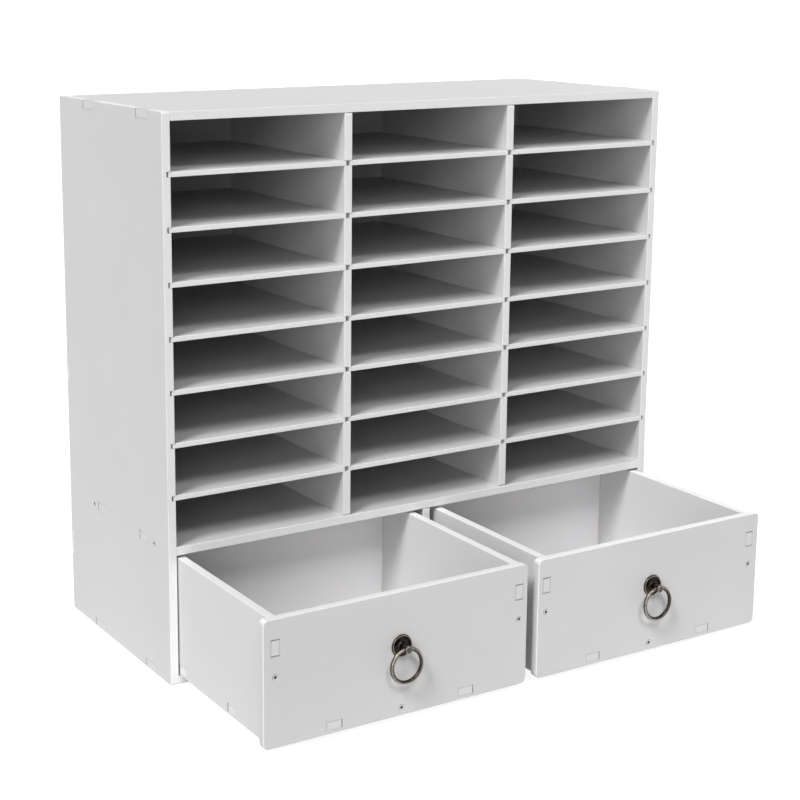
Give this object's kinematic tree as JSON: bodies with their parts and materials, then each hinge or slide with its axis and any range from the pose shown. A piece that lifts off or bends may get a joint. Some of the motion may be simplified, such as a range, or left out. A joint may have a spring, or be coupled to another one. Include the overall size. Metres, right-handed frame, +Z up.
{
  "type": "pigeonhole mail sorter",
  "caption": "Freestanding desktop mail sorter with rows of letter-size pigeonholes above two drawers with ring pulls.",
  "frame": {"origin": "centre of the cabinet's footprint on the surface it stands on", "axes": "+X to the right seen from the front, +Y to the back, +Z up; the drawers open towards -Y"},
  "size_m": [0.694, 0.5085, 0.647],
  "materials": {
    "cabinet_board": "satin white wood-plastic board",
    "thin_board": "satin white wood-plastic board",
    "drawer_board": "satin white wood-plastic board",
    "antique_bronze": "dark antiqued",
    "plated_steel": "bright plated"
  },
  "bodies": {
    "cabinet": {"left_side_panel": "cabinet_board", "right_side_panel": "cabinet_board", "top_panel": "cabinet_board", "middle_panel": "cabinet_board", "bottom_panel": "cabinet_board", "back_panel": "thin_board", "drawer_bay_partition": "cabinet_board", "column_divider_1": "cabinet_board", "column_divider_2": "cabinet_board", "shelf_column1_row1": "thin_board", "shelf_column1_row2": "thin_board", "shelf_column1_row3": "thin_board", "shelf_column1_row4": "thin_board", "shelf_column1_row5": "thin_board", "shelf_column1_row6": "thin_board", "shelf_column1_row7": "thin_board", "shelf_column2_row1": "thin_board", "shelf_column2_row2": "thin_board", "shelf_column2_row3": "thin_board", "shelf_column2_row4": "thin_board", "shelf_column2_row5": "thin_board", "shelf_column2_row6": "thin_board", "shelf_column2_row7": "thin_board", "shelf_column3_row1": "thin_board", "shelf_column3_row2": "thin_board", "shelf_column3_row3": "thin_board", "shelf_column3_row4": "thin_board", "shelf_column3_row5": "thin_board", "shelf_column3_row6": "thin_board", "shelf_column3_row7": "thin_board", "cabinet_screws": "plated_steel"},
    "drawer_left": {"drawer_left_front": "drawer_board", "drawer_left_left_side": "drawer_board", "drawer_left_right_side": "drawer_board", "drawer_left_back": "drawer_board", "drawer_left_bottom": "drawer_board", "drawer_left_front_screws": "plated_steel", "drawer_left_pull_backplate": "antique_bronze", "drawer_left_pull_post": "antique_bronze", "drawer_left_pull_nut": "plated_steel"},
    "ring_left": {"drawer_left_pull_ring": "antique_bronze"},
    "drawer_right": {"drawer_right_front": "drawer_board", "drawer_right_left_side": "drawer_board", "drawer_right_right_side": "drawer_board", "drawer_right_back": "drawer_board", "drawer_right_bottom": "drawer_board", "drawer_right_front_screws": "plated_steel", "drawer_right_pull_backplate": "antique_bronze", "drawer_right_pull_post": "antique_bronze", "drawer_right_pull_nut": "plated_steel"},
    "ring_right": {"drawer_right_pull_ring": "antique_bronze"}
  },
  "joints": [
    {"name": "drawer_left_slide", "type": "slide", "parent": "cabinet", "child": "drawer_left", "axis": [0, -1, 0], "range_m": [-0.2007, 0.029]},
    {"name": "ring_left_swing", "type": "hinge", "parent": "drawer_left", "child": "ring_left", "pos_m": [-0.176, -0.363, 0.0888], "axis": [-1, 0, 0], "range_deg": [-12.5, 192.5]},
    {"name": "drawer_right_slide", "type": "slide", "parent": "cabinet", "child": "drawer_right", "axis": [0, -1, 0], "range_m": [-0.1997, 0.03]},
    {"name": "ring_right_swing", "type": "hinge", "parent": "drawer_right", "child": "ring_right", "pos_m": [0.176, -0.362, 0.0888], "axis": [-1, 0, 0], "range_deg": [-12.5, 192.5]}
  ]
}
